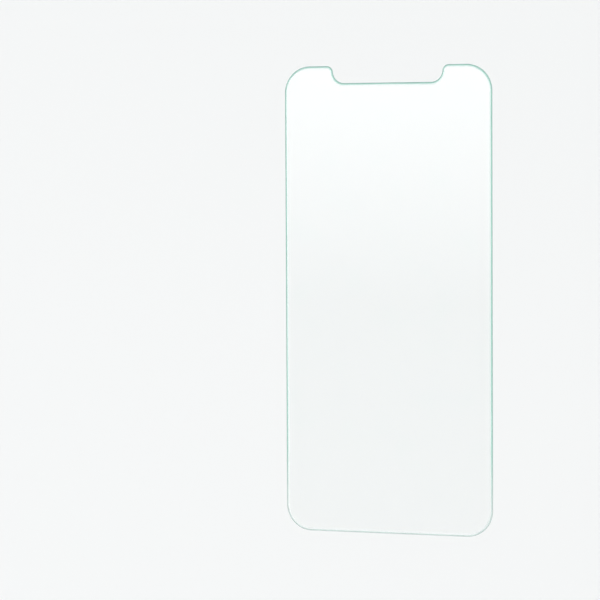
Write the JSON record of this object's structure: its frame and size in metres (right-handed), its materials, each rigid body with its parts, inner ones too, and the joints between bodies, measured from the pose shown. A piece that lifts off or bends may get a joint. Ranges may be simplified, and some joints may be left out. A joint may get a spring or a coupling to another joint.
{
  "type": "phone screen protector",
  "caption": "Thin clear tempered glass sheet with rounded corners, a polished rim and a notch in its top edge, laid over a phone's screen to protect it.",
  "frame": {"origin": "centre of the sheet's outline, on the back face that goes against the screen", "axes": "+X to the right and +Y towards the notched end, seen from the front; +Z out of the front face"},
  "size_m": [0.063, 0.136, 0.0003],
  "materials": {
    "clear_glass": "clear polished glass with a faint blue-green edge"
  },
  "bodies": {
    "root": {"glass_sheet": "clear_glass"}
  },
  "joints": []
}
